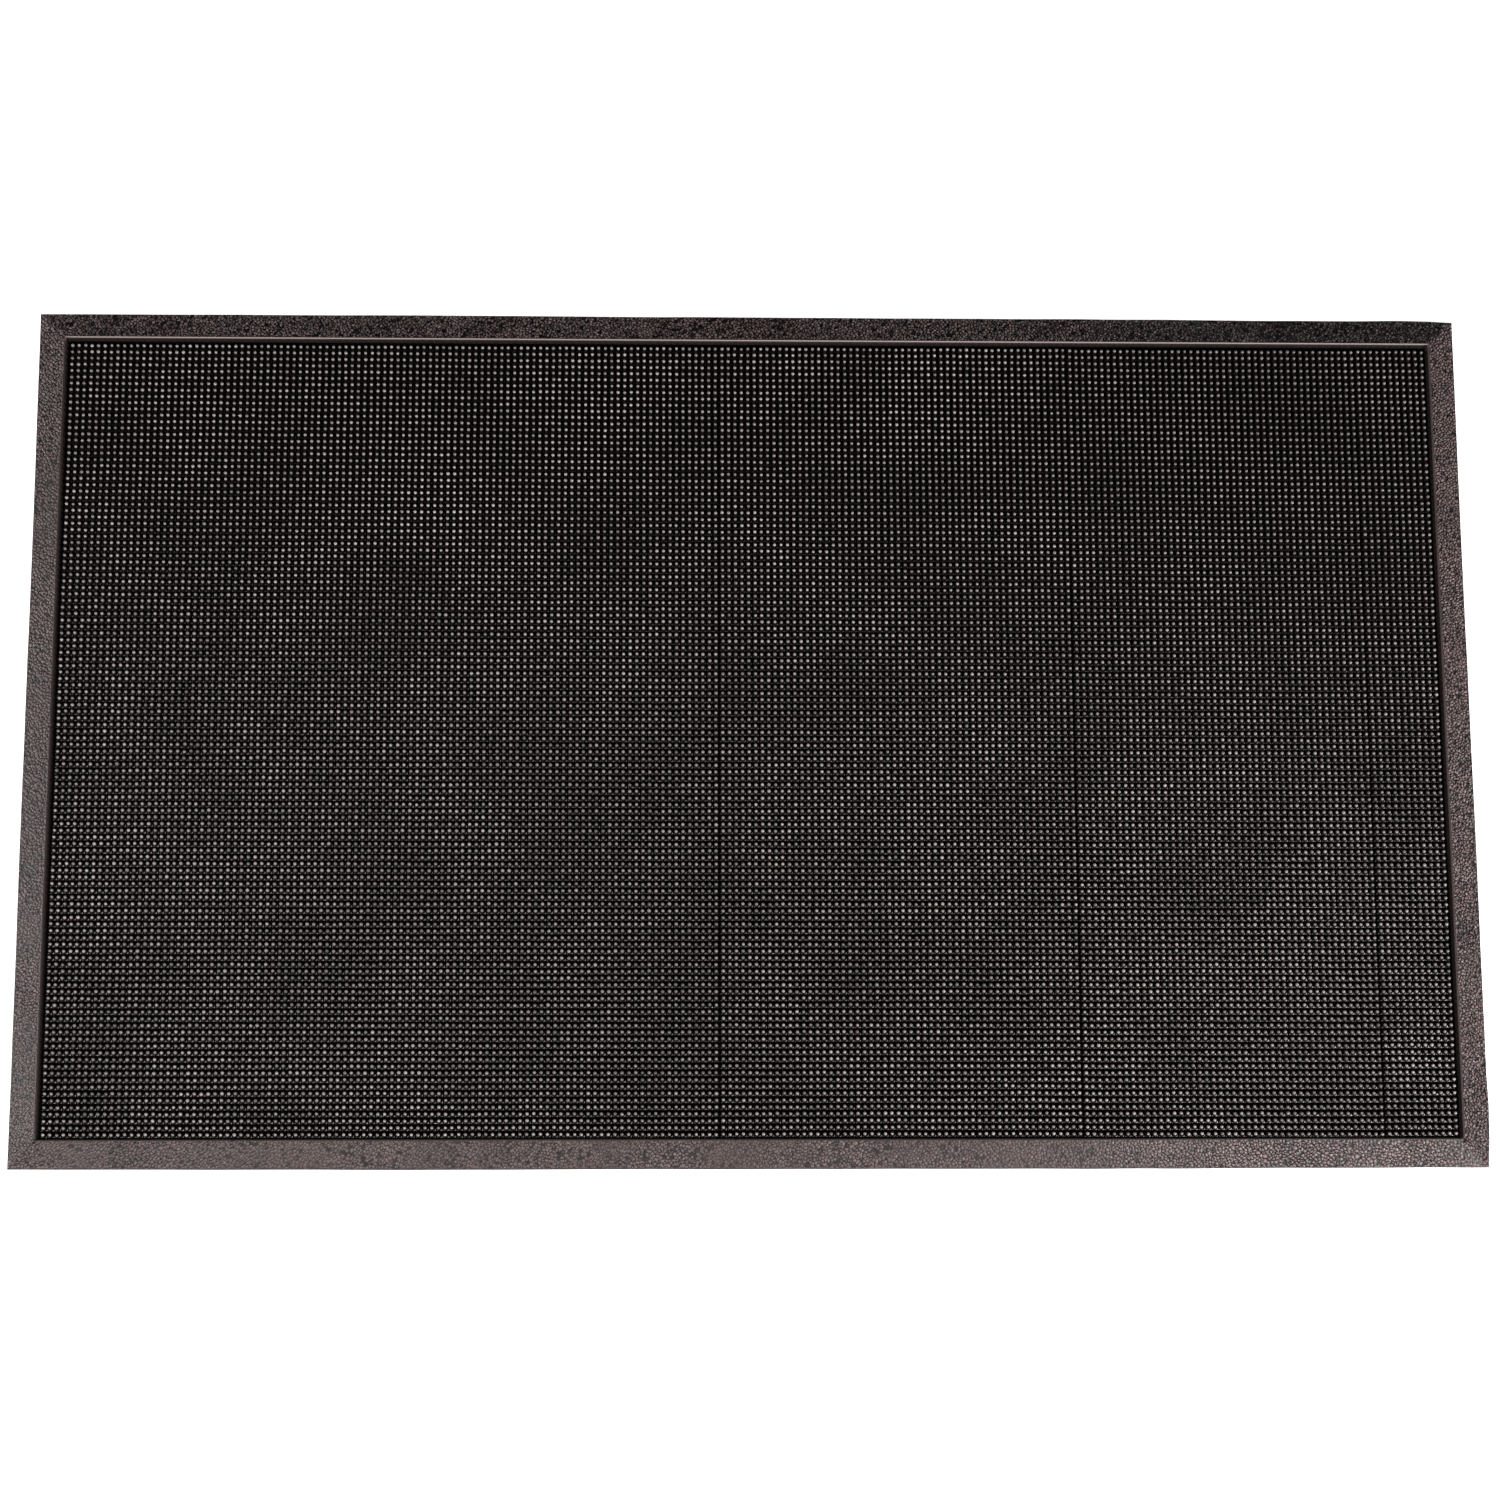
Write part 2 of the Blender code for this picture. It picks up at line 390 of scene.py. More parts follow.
# Painted shade: the tips towards the back right and in the pressed patch are painted darker.
back_right_painted_shade = smooth_step(finger_x, *BACK_RIGHT_SHADE_X) * smooth_step(finger_y, *BACK_RIGHT_SHADE_Y)
tip_wear_and_painted_shade = random_numbers.uniform(0.0, 1.0, finger_x.shape)
tip_wear_and_painted_shade = tip_wear_and_painted_shade * (1 - BACK_RIGHT_SHADE_DEPTH * back_right_painted_shade) * (1 - DARK_PATCH_PAINTED_SHADE * patch)
print(f"lean up to {1000 * abs(lean_y).max():.2f} mm at the tip, shade {tip_wear_and_painted_shade.mean():.2f} on average")

# %% [markdown]
# A finger is a stack of eight-sided rings, from a wide foot to a small flat tip with a rounded
# rim. Along the front of each row the rubber stands up between the fingers in a lip, over a third
# of a finger high, where two plates of the mould met. It runs on past the front of each finger, and
# behind the row is a bare trench. The outermost ring of every finger lies on the borders of its own
# cell, and neighbours share it, so a whole band of rows is one unbroken skin.

# %% The rings of one finger, and the lip
SIDES = 8
RING_ANGLES = np.arange(SIDES) * (2 * pi / SIDES) - pi / 2
# Each ring: its height as a share of the finger, its radius, and how far its front is drawn out.
RINGS = np.array((
    (0.030, 0.00142, 0.00022),
    (0.130, 0.00126, 0.00012),
    (0.330, 0.00106, 0.00002),
    (0.900, 0.00081, 0.0),
    (0.990, 0.00048, 0.0),
))
FINGER_HEIGHT = tip_height - WEB_THICKNESS
TRENCH_HEIGHT = WEB_THICKNESS + 0.00003  # a whisker above the web sheet
RIM_HEIGHT = WEB_THICKNESS - 0.00006  # the field's own rim dips into the web sheet
LEAN_CURVE = 1.5  # a finger leans most near its tip
LIP_HEIGHT = 0.00190
LIP_PLACE = -0.00100  # in front of the fingers' axes
LIP_REACH = 0.00042
LIP_EXTRA = 0.45  # how much higher it is in the front right corner
LIP_AT_FINGER = 0.85  # its height where it passes a finger, as a share of its height between them
print(f"{len(RINGS)} rings, finger {1000 * FINGER_HEIGHT:.1f} mm high, lip {1000 * LIP_HEIGHT:.1f} mm")

# %% [markdown]
# The cell borders come next: one corner where four fingers meet, one point in the middle of each
# trench, and one on the lip between two fingers of a row. The first row stands close to the
# edging, so its cells are cut short at the edging's wall. At a mould seam the lip is lower.

# %% The borders between the fingers
WALL_CLEARANCE = 0.00008
LIP_SPREAD = 0.25
SEAM_LIP_LOSS = 0.5


def between(values, first, last):
    """The middle between neighbouring values, with the two ends given."""
    return np.concatenate([[first], (values[1:] + values[:-1]) / 2, [last]])


edge_x = between(column_x, column_x[0] - COLUMN_PITCH / 2, column_x[-1] + COLUMN_PITCH / 2)
edge_y = between(row_y, row_y[0] - ROW_PITCH / 2, row_y[-1] + ROW_PITCH / 2)
edge_y[0] = max(edge_y[0], -wall_foot_y + WALL_CLEARANCE)
edge_shift_y = between(column_shift_y, column_shift_y[0], column_shift_y[-1])
seam_at_edge = np.zeros(COLUMNS + 1)
for seam in MOULD_SEAMS:
    seam_at_edge[np.argmin(abs(edge_x - seam))] = 1.0
lip_spread = 1 + LIP_SPREAD * random_numbers.normal(size=(ROWS, COLUMNS + 1)).clip(-2, 2)
lip_height = LIP_HEIGHT * (1 - SEAM_LIP_LOSS * seam_at_edge) * lip_spread
lip_height[:, [0, -1]] = 0.0
print("cells from", [round(1000 * float(v), 2) for v in (edge_x[0], edge_y[0], edge_x[-1], edge_y[-1])], "mm")

# %% [markdown]
# The lip gets a pale painted highlight over the front of the mat, strongest in its front right
# corner and none at the back. A function of the place says how much, and the mesh carries the
# answer to the material.
# A function of the place says how much, and the mesh carries the answer to the material.

# %% Painted highlight on the lip
LIP_LIGHT_FRONT = (-0.18, 0.14)  # from no painted highlight to the full one, as distances in front of the middle
CORNER_X = (0.08, 0.34)
CORNER_FRONT = (-0.06, 0.19)
FRONT_LIP_LIGHT, CORNER_LIP_LIGHT = 0.50, 0.50
SEAM_LIP_LIGHT_LOSS = 0.3


def front_right_corner(x, y):
    """1 in the front right corner of the mat, falling to 0 away from it."""
    return smooth_step(x, *CORNER_X) * smooth_step(-y, *CORNER_FRONT)


def lip_painted_light(x, y):
    """How strong the lip's painted highlight is."""
    return FRONT_LIP_LIGHT * smooth_step(-y, *LIP_LIGHT_FRONT) + CORNER_LIP_LIGHT * front_right_corner(x, y)


print("grit at the middle and at the front right corner:",
      [round(float(lip_painted_light(x, y)), 2) for x, y in ((0.0, 0.0), (half_length, -half_width))])

# %% [markdown]
# The mat is built in bands of eleven rows, so that no mesh grows too heavy. A band's points come in
# one order: the cell corners, the trench middles and the lip, and then every finger's rings. The
# lip is a soft ridge, so any ring point that would lie under it is lifted onto it.

# %% The points of one band of rows
LIP_ON_FINGER = 0.70  # how much the lip shows where it passes a finger's middle
PLAIN_SHADE = 0.5


def border_points(rows):
    """Three groups of points that neighbouring cells share: corners, trench middles, and the lip."""
    lines = edge_y[rows[0]:rows[-1] + 2]
    corner_x, corner_y = np.meshgrid(edge_x, lines)
    middle_x, middle_y = np.meshgrid(column_x, lines)
    lip_x, lip_y = np.meshgrid(edge_x, row_y[rows] + LIP_PLACE)
    corner_z = np.full(corner_x.shape, TRENCH_HEIGHT)
    middle_z = np.full(middle_x.shape, TRENCH_HEIGHT)
    lip_z = TRENCH_HEIGHT + lip_height[rows] * (1 + LIP_EXTRA * front_right_corner(lip_x, lip_y))
    corner_z[:, [0, -1]] = RIM_HEIGHT
    lip_z[:, [0, -1]] = RIM_HEIGHT
    if rows[0] == 0:
        corner_z[0], middle_z[0] = RIM_HEIGHT, RIM_HEIGHT
    if rows[-1] == ROWS - 1:
        corner_z[-1], middle_z[-1] = RIM_HEIGHT, RIM_HEIGHT
    groups = (
        (corner_x, corner_y + edge_shift_y, corner_z),
        (middle_x, middle_y + column_shift_y, middle_z),
        (lip_x, lip_y + edge_shift_y, lip_z),
    )
    return [np.stack(group, -1).reshape(-1, 3) for group in groups]


def for_each(values, rows):
    """One value for each finger of a band, shaped to spread over its rings and their sides."""
    return values[rows][:, :, None, None]


def ring_points(rows):
    """The rings of a band's fingers, and how much each of their points belongs to the lip."""
    share, radius, front = (RINGS[:, part][:, None] for part in range(3))
    own_x, own_y = for_each(finger_x, rows), for_each(finger_y, rows)
    radius = radius * for_each(finger_size, rows)
    drawn_out = front * np.maximum(0.0, -np.sin(RING_ANGLES))
    bend = share ** LEAN_CURVE
    x = own_x + radius * np.cos(RING_ANGLES) + bend * for_each(lean_x, rows)
    y = own_y + radius * np.sin(RING_ANGLES) - drawn_out + bend * for_each(lean_y, rows)
    y = np.maximum(y, edge_y[0] + WALL_CLEARANCE)
    ridge = bell(y - own_y, LIP_PLACE, LIP_REACH)
    z = TRENCH_HEIGHT + share * FINGER_HEIGHT * for_each(finger_tall, rows)
    z = np.maximum(z, TRENCH_HEIGHT + LIP_AT_FINGER * LIP_HEIGHT * ridge)
    from_middle = abs(x - own_x) / (COLUMN_PITCH / 2)
    shown = LIP_ON_FINGER + (1 - LIP_ON_FINGER) * from_middle
    on_lip = ridge * shown * (z < TRENCH_HEIGHT + LIP_HEIGHT)
    return np.stack([x, y, z], -1).reshape(-1, 3), on_lip.ravel()


def band_points(rows):
    """All the points of a band, and the numbers that they carry."""
    corners, middles, lip = border_points(rows)
    rings, on_lip = ring_points(rows)
    points = np.concatenate([corners, middles, lip, rings])
    plain = np.full(len(corners) + len(middles) + len(lip), PLAIN_SHADE)
    shade = np.repeat(tip_wear_and_painted_shade[rows].ravel(), len(RINGS) * SIDES)
    bare = np.zeros(len(corners) + len(middles))
    # At a mould seam the lip gets less painted highlight.
    lip_light_at_crest = np.tile(1 - SEAM_LIP_LIGHT_LOSS * seam_at_edge, len(rows))
    numbers = {
        "tip_wear_and_painted_shade": np.concatenate([plain, shade]),
        "lip": np.concatenate([bare, lip_light_at_crest, on_lip]),
        "lip_light": lip_painted_light(points[:, 0], points[:, 1]),
    }
    return points, numbers


print("points in the first row:", len(band_points(np.arange(1))[0]))

# %% [markdown]
# The faces only need the order of the points. The border of a cell is a loop of eight corners, so
# it joins the first ring side by side, and each ring joins the next in the same way. The last ring
# closes with one flat face, the tip. Eleven bands make the field.

# %% Build the bands of fingers
BANDS = 11


def band_faces(count):
    """The faces of a band of count rows, as rows of corner numbers."""
    row, column = np.meshgrid(np.arange(count), np.arange(COLUMNS), indexing="ij")
    corners_in_line = COLUMNS + 1
    first_middle = (count + 1) * corners_in_line
    first_lip = first_middle + (count + 1) * COLUMNS
    first_ring = first_lip + count * corners_in_line
    corner = row * corners_in_line + column
    middle = first_middle + row * COLUMNS + column
    lip = first_lip + row * corners_in_line + column
    behind = corner + corners_in_line
    border = np.stack([middle, corner + 1, lip + 1, behind + 1,
                       middle + COLUMNS, behind, lip, corner], -1).reshape(-1, SIDES)
    finger = np.arange(count * COLUMNS) * len(RINGS) * SIDES + first_ring
    rings = [finger[:, None] + ring * SIDES + np.arange(SIDES) for ring in range(len(RINGS))]
    walls = []
    for outer, inner in zip([border, *rings[:-1]], rings):
        turned_outer, turned_inner = np.roll(outer, -1, axis=1), np.roll(inner, -1, axis=1)
        walls.append(np.stack([outer, turned_outer, turned_inner, inner], -1).reshape(-1, 4))
    return [np.concatenate(walls), rings[-1]]


for number, rows in enumerate(np.array_split(np.arange(ROWS), BANDS), start=1):
    points, numbers = band_points(rows)
    band = make_piece(f"finger_rows_{number:02d}", points, band_faces(len(rows)),
                      finger_material, numbers)
    map_from_above(band)

# %% [markdown]
# Under the fingers is the web, the sheet that they are moulded on. It is seen as a narrow dark
# strip beside the edging, and from below. It reaches under the edging, into the rebate where it
# is glued. A slab with softened edges is all that it needs, so here Blender's own cube and bevel
# do the work.

# %% The web sheet
WEB_EDGE = 0.0004


def web_sheet():
    bpy.ops.mesh.primitive_cube_add(size=1.0, location=(0.0, 0.0, 0.0))
    sheet = bpy.context.object
    sheet.name = sheet.data.name = "web_sheet"
    size = Matrix.Diagonal((2 * web_half_length, 2 * web_half_width, WEB_THICKNESS, 1.0))
    sheet.data.transform(Matrix.Translation((0, 0, WEB_THICKNESS / 2)) @ size)
    soften = sheet.modifiers.new("soft edges", "BEVEL")
    soften.width, soften.segments = WEB_EDGE, 3
    sheet.data.materials.append(finger_material)
    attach(sheet, "root")
    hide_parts("finger_panel")
    return sheet


print("web sheet:", web_sheet().name)

# %% [markdown]
# The edging's rubber is browner than the fingers', and its ramp has a pebbled grain like coarse
# leather. The pebbles are in the mesh, so the material reads their height from a number that the
# mesh carries: the tops keep the rubber's colour, mottled at random, and the grooves get painted
# shade, nearly black. A second number says how strong the grain is, because the crest and the inner
# wall are smooth and get a dark painted shade, and a third puts a painted highlight on the crest's
# inner side. Only what is finer than a pebble is left to bump.

# %% Edging rubber
# The groove colour is painted shade: the hollows of the grain are painted nearly black.
GROOVE_SHADE_COLOUR = (0.0025, 0.0016, 0.0016)
PEBBLE_COLOUR = (0.152, 0.098, 0.096)
# The smooth colour is the smooth rubber's colour, made darker as painted shade on the inner wall and the toe.
SMOOTH_SHADED_COLOUR = (0.022, 0.0155, 0.015)
# The crest colour is a painted highlight on the crest's inner side.
CREST_HIGHLIGHT_COLOUR = (0.230, 0.192, 0.187)
TOP_FROM, TOP_FULL = 0.22, 0.80
EDGING_DUST_SCALE, EDGING_DUST_LEAST = 45.0, 0.70
EDGING_GRAIN_SCALE = 1500.0
EDGING_ROUGHNESS = (0.32, 0.48)
EDGING_BUMP = (0.5, 0.00012)
EDGING_SHINE = (0.14, 0.34)
SHINE_AT_GRAIN = 0.4


def edging_rubber():
    """The rubber of the four edgings."""
    material, tree, shader = start_rubber("edging_rubber")
    place = tree.nodes.new("ShaderNodeTexCoord").outputs["Object"]
    grained = add_number(tree, "grained")
    # The pebble number carries the pebbles' height with painted shade in their grooves.
    top = add_range(tree, add_number(tree, "pebble"), TOP_FROM, TOP_FULL, 0.0, 1.0)
    patches = add_noise(tree, place, EDGING_DUST_SCALE, 3.0)
    dust = add_range(tree, patches, NOISE_LOW, NOISE_HIGH, EDGING_DUST_LEAST, 1.0)
    tops_and_groove_shade = add_mix(tree, add_product(tree, top, dust), GROOVE_SHADE_COLOUR, PEBBLE_COLOUR)
    # The smooth parts get painted shade, and the crest's inner side a painted highlight.
    shaded_smooth_and_lit_crest = add_mix(tree, add_number(tree, "crest_highlight"), SMOOTH_SHADED_COLOUR, CREST_HIGHLIGHT_COLOUR)
    tree.links.new(add_mix(tree, grained, shaded_smooth_and_lit_crest, tops_and_groove_shade), shader.inputs["Base Color"])
    grain = add_noise(tree, place, EDGING_GRAIN_SCALE, 4.0)
    add_fine_grain(tree, shader, grain, EDGING_ROUGHNESS, *EDGING_BUMP)
    shine = add_range(tree, grained, 0.0, SHINE_AT_GRAIN, *EDGING_SHINE)
    tree.links.new(shine, shader.inputs["Specular IOR Level"])
    return material


edging_material = edging_rubber()
print("edging rubber nodes:", len(edging_material.node_tree.nodes))

# %% [markdown]
# An edging is one section drawn along a side of the mat and mitred at both ends. Seen from the
# outer edge inwards, the section rises from a rounded toe up a long ramp to a crest, falls down a
# steep inner wall, and has a rebate underneath for the web. The corners are given as points with
# a radius, and a small function rounds them. The ramp is cut fine enough to carry the grain, and
# the wall has more points near the crest, where its shade changes fast.

# %% The section of the edging
RAMP_WIDTH = 0.0147
TOE_HEIGHT = 0.0018
LAP_WIDTH = 0.0080
GLUE_GAP = 0.0003
GRAIN_STEP = 0.00043
WALL_SHARES = (0.06, 0.16, 0.5)
ROUND_STEPS = 4
WALL_FOOT = half_width - wall_foot_y  # in from the outer edge
SECTION_CORNERS = (
    # in from the outer edge, height, radius
    (0.0, 0.0, 0.00015),
    (0.0, TOE_HEIGHT, 0.0007),
    (RAMP_WIDTH, tip_height, 0.0006),
    (WALL_FOOT, WEB_THICKNESS + GLUE_GAP, 0.0),
    (WALL_FOOT - LAP_WIDTH, WEB_THICKNESS + GLUE_GAP, 0.0),
    (WALL_FOOT - LAP_WIDTH, 0.0, 0.0),
)
CREST_CORNER, WALL_FOOT_CORNER = 2, 3


def rounded_corner(before, corner, after, radius):
    """Points round one corner of an outline, or the corner itself if it stays sharp."""
    if radius == 0.0:
        return [corner]
    to_before, to_after = (before - corner).normalized(), (after - corner).normalized()
    half_angle = to_before.angle(to_after) / 2
    reach = radius / tan(half_angle)
    centre = corner + (to_before + to_after).normalized() * radius / sin(half_angle)
    start = corner + to_before * reach - centre
    turn = -start.angle_signed(corner + to_after * reach - centre)
    turns = [turn * step / ROUND_STEPS for step in range(ROUND_STEPS + 1)]
    return [centre + Matrix.Rotation(angle, 2) @ start for angle in turns]


def section_outline():
    """The section as points from the toe's foot, over the crest and back along the bottom."""
    outline = []
    corners = [(Vector(corner[:2]), corner[2]) for corner in SECTION_CORNERS]
    for index, (corner, radius) in enumerate(corners):
        before, after = corners[index - 1][0], corners[(index + 1) % len(corners)][0]
        rounded = rounded_corner(before, corner, after, radius)
        if index == CREST_CORNER:
            start, end = outline[-1], rounded[0]
            steps = round((end - start).length / GRAIN_STEP)
            outline += [start.lerp(end, step / steps) for step in range(1, steps)]
        if index == WALL_FOOT_CORNER:
            outline += [outline[-1].lerp(corner, share) for share in WALL_SHARES]
        outline += rounded
    return np.array(outline)


section = section_outline()
print(f"section: {len(section)} points, {1000 * section[:, 0].max():.1f} mm deep,",
      f"{1000 * section[:, 1].max():.2f} mm high")

# %% [markdown]
# The grain is made of small cells. Each cell has a random centre, and a spot's two nearest centres
# say where it is: close to one centre it is on a pebble, and between two it is in a groove. The
# pattern is stretched along a diagonal, because the real pebbles are longer one way, and bent a
# little, so that no straight line shows in it.

# %% The pebble grain
PEBBLE_SIZE = 0.00140
PEBBLE_STRETCH = 1.25
PEBBLE_HEIGHT = 0.00055
PEBBLE_MIDDLE = 0.6  # this much of a pebble's height lies on the ramp's own level
BEND, BEND_SIZE = 0.0004, 0.0016
GROOVE_WIDTH = 0.45  # in cells
LOWEST_PEBBLE = 0.65
PEBBLE_CROWN = 0.45
FAR = 9.0


def nearest_two(x, y, size):
    """Distances to the nearest two random centres, in cells, and a number for the nearest cell."""
    column, row = np.floor(x / size).astype(int), np.floor(y / size).astype(int)
    nearest, second = np.full(x.shape, FAR), np.full(x.shape, FAR)
    own = np.zeros(x.shape)
    for side in (-1, 0, 1):
        for up in (-1, 0, 1):
            centre = cell_table[(column + side) % TABLE_SIDE, (row + up) % TABLE_SIDE]
            gap = np.hypot(column + side + centre[..., 0] - x / size, row + up + centre[..., 1] - y / size)
            closer = gap < nearest
            second = np.where(closer, nearest, np.minimum(second, gap))
            own = np.where(closer, centre[..., 2], own)
            nearest = np.where(closer, gap, nearest)
    return nearest, second, own


def pebbles(x, y):
    """The grain's height at each place, from 0 in a groove to 1 on a pebble."""
    bent_x = x + BEND * smooth_noise(x, y, BEND_SIZE, 3)
    bent_y = y + BEND * smooth_noise(x, y, BEND_SIZE, 4)
    along, across = (bent_x + bent_y) / np.sqrt(2), (bent_x - bent_y) / np.sqrt(2)
    nearest, second, own = nearest_two(along / PEBBLE_STRETCH, across, PEBBLE_SIZE)
    top = smooth_step(second - nearest, 0.0, GROOVE_WIDTH)
    return top * (LOWEST_PEBBLE + (1 - LOWEST_PEBBLE) * own) * (1 - PEBBLE_CROWN * nearest ** 2)


print(f"pebbles {1000 * PEBBLE_SIZE:.2f} mm across and up to {1000 * PEBBLE_HEIGHT:.2f} mm high")

# %% [markdown]
# The grain isn't the same on all four sides. It is faint along the front, where feet have worn the
# mould's pattern down, and deep at the back, where its grooves also get wider painted shade. One
# stretch of the front, near its right end, is rougher again. Every place knows how much it belongs
# to each side, and the shares blend over a few millimetres at the mitres.

# %% How the grain differs from side to side
# One value each for the front, right, back and left side.
SIDE_GRAIN = np.array([0.55, 1.3, 1.5, 0.85])
# How strongly the crest of each side gets its painted highlight.
SIDE_CREST_HIGHLIGHT = np.array([0.10, 0.20, 1.0, 0.0])
FRONT, BACK = 0, 2
MITRE_BLEND = 0.004
ROUGH_STRETCH, ROUGH_REACH, ROUGH_EXTRA = 0.30, 0.07, 0.9
GRAIN_SPREAD, GRAIN_SPREAD_SIZE = 0.35, 0.030
# Painted shade in the grooves: wider and darker at the back, and darker where the grain is strong.
BACK_GROOVE_SHADE = 0.5
LEAST_GROOVE_SHADE = 0.36
# Painted shade: the right half of the back edging is painted darker.
EDGING_SHADE_X = (0.08, 0.26)
EDGING_BACK_RIGHT_SHADE_DEPTH = 0.28


def depths(x, y):
    """How far each place is in from the front, right, back and left side of the mat."""
    return np.stack([half_width + y, half_length - x, half_width - y, half_length + x])


def side_shares(x, y):
    """How much each place belongs to the front, right, back and left side."""
    inward = depths(x, y)
    nearest = np.sort(inward, axis=0)
    lead = nearest[0] + nearest[1] - 2 * inward
    shares = smooth_step(lead + MITRE_BLEND, 0.0, 2 * MITRE_BLEND)
    return shares / shares.sum(axis=0)


def grain_strength(x, y):
    """How high the pebbles stand at each place, as a share of their full height."""
    shares = side_shares(x, y)
    strength = np.tensordot(SIDE_GRAIN, shares, axes=1)
    strength = strength * (1 + ROUGH_EXTRA * shares[FRONT] * bell(x, ROUGH_STRETCH, ROUGH_REACH))
    return strength * (1 + GRAIN_SPREAD * smooth_noise(x, y, GRAIN_SPREAD_SIZE, 5))


def pebble_with_painted_shade(x, y, pebble, strength):
    """The grain's lightness for the material: painted shade in the grooves, wider at the back, and more
    painted shade over the back's right half.
    """
    on_back = side_shares(x, y)[BACK]
    edging_back_right_shade = on_back * smooth_step(x, *EDGING_SHADE_X)
    groove_shade_depth = np.clip(strength + LEAST_GROOVE_SHADE, 0.0, 1.0)
    groove_shade = (1 - pebble ** (1 + BACK_GROOVE_SHADE * on_back)) * groove_shade_depth
    return (1 - groove_shade) * (1 - EDGING_BACK_RIGHT_SHADE_DEPTH * edging_back_right_shade)


print("grain strength at the middle of the front:", round(float(grain_strength(0.0, -half_width)), 2))

# %% [markdown]
# A few small nicks mark the crest, where the mould or the trimming knife slipped, and the two front
# mitres have a dark notch at their inner end. Each is a small round dent. The outline wanders too:
# a thin rubber strip never lies quite straight, so its outer edge strays by a few tenths of a
# millimetre, most near the right corners, while the crest, held by the web, stays straighter. Both
# are functions of the place, so that the four sides still meet at the mitres.

# %% Nicks, and an outline that wanders
CREST_X, CREST_Y = half_length - RAMP_WIDTH, half_width - RAMP_WIDTH
NICKS = (
    # x, y, size, depth
    (-0.2660, -CREST_Y, 0.0007, 0.0011),
    (-0.0091, -CREST_Y, 0.0006, 0.0009),
    (-CREST_X, 0.0015, 0.0006, 0.0009),
    (-CREST_X - 0.0004, -CREST_Y - 0.0004, 0.0009, 0.0014),
    (CREST_X + 0.0006, -CREST_Y - 0.0006, 0.0010, 0.0016),
)
NICK_FROM, NICK_FULL = 0.0035, 0.0060  # the heights over which a nick deepens
WANDER = 0.00022
QUICK_WANDER = 0.4
ALONG_X = ((0.09, 6), (0.025, 7))  # a slow and a quick wander: the size of each, and its part of the table
ALONG_Y = ((0.08, 8), (0.022, 9))
BACK_BULGE, RIGHT_BULGE = (0.350, 0.016), (-0.196, 0.012)  # middle and reach
BACK_BULGE_SIZE, RIGHT_BULGE_SIZE = 0.0005, 0.0004
BACK_CORNER, FRONT_CORNER = (0.366, 0.381), (0.212, 0.2286)
BACK_CORNER_CUT, FRONT_CORNER_CUT = 0.0005, 0.0009
FRONT_OUT, LEFT_IN = 0.0001, 0.0001  # how far these two sides lie from where the frame has them


def nick_depth(x, y):
    """How deep the nicks are at each place, in metres."""
    depth = np.zeros(x.shape)
    for nick_x, nick_y, size, deep in NICKS:
        depth += deep * np.exp(-((x - nick_x) ** 2 + (y - nick_y) ** 2) / size ** 2)
    return depth


def wander_at(x, y, slow, quick):
    """How far a side strays outwards, in metres."""
    return WANDER * (smooth_noise(x, y, *slow) + QUICK_WANDER * smooth_noise(x, y, *quick))


def wandered(x, y):
    """The place each point moves to, most at the outer edge and not at all at the crest."""
    front, right, back, left = smooth_step(RAMP_WIDTH - depths(x, y), 0.0, RAMP_WIDTH)
    along_x = wander_at(x, 0 * x, *ALONG_X)
    along_y = wander_at(0 * y, y, *ALONG_Y)
    back_bow = BACK_BULGE_SIZE * bell(x, *BACK_BULGE) - BACK_CORNER_CUT * smooth_step(x, *BACK_CORNER)
    right_bow = RIGHT_BULGE_SIZE * bell(y, *RIGHT_BULGE) - FRONT_CORNER_CUT * smooth_step(-y, *FRONT_CORNER)
    moved_y = back * (along_x + back_bow) - front * (along_x + FRONT_OUT)
    moved_x = right * (along_y + right_bow) - left * (along_y - LEFT_IN)
    return x + moved_x, y + moved_y


print(f"{len(NICKS)} nicks, the outline wanders by about {1000 * WANDER:.2f} mm")

# %% [markdown]
# Now the section is drawn along each side. Every point of the section gives one line of points
# along the strip, and a line is shorter the further in it lies, which makes the mitres. The pebbles
# then lift the ramp, the nicks sink the crest, and the outline wanders. A strip could also be a
# curve with a bevel, but then the grain would need a second step, and the mitres a third.

# %% The points and faces of one strip
GRAIN_TOP = 0.0009  # a section point this little below the ramp's line is still on top
TOE_EDGE = (-0.0002, 0.0005)  # the grain starts over these heights round the toe's
CREST_EDGE = (0.0012, 0.0003)  # and ends over these distances outside the crest
CREST_HIGHLIGHT_FROM, CREST_HIGHLIGHT_FULL = 0.0012, 0.0004  # below the tips
CREST_HIGHLIGHT_WIDTH = 0.0002


def side_grid(turns, half_side, half_depth):
    """x and y of a side's points, a row for each step along it. turns counts quarter turns from the front."""
    steps = round(2 * half_side / GRAIN_STEP)
    share = np.linspace(-1.0, 1.0, steps + 1)[:, None]
    inward = section[:, 0]
    x = share * (half_side - inward)
    y = -half_depth + inward + 0 * x
    for _ in range(turns):
        x, y = -y, x
    return x, y


def ramp_share():
    """How much each point of the section carries the grain: fully on the ramp, and not on crest or toe."""
    inward, height = section.T
    ramp_height = TOE_HEIGHT + (tip_height - TOE_HEIGHT) * inward / RAMP_WIDTH
    on_top = height > ramp_height - GRAIN_TOP
    above_toe = smooth_step(height, TOE_HEIGHT + TOE_EDGE[0], TOE_HEIGHT + TOE_EDGE[1])
    near_crest = smooth_step(inward, RAMP_WIDTH - CREST_EDGE[0], RAMP_WIDTH - CREST_EDGE[1])
    return on_top * above_toe * (1 - near_crest)


def crest_highlight_share():
    """How much each point of the section is on the crest's inner side, which gets a painted highlight."""
    inward, height = section.T
    high = smooth_step(height, tip_height - CREST_HIGHLIGHT_FROM, tip_height - CREST_HIGHLIGHT_FULL)
    return high * (inward > RAMP_WIDTH - CREST_HIGHLIGHT_WIDTH)


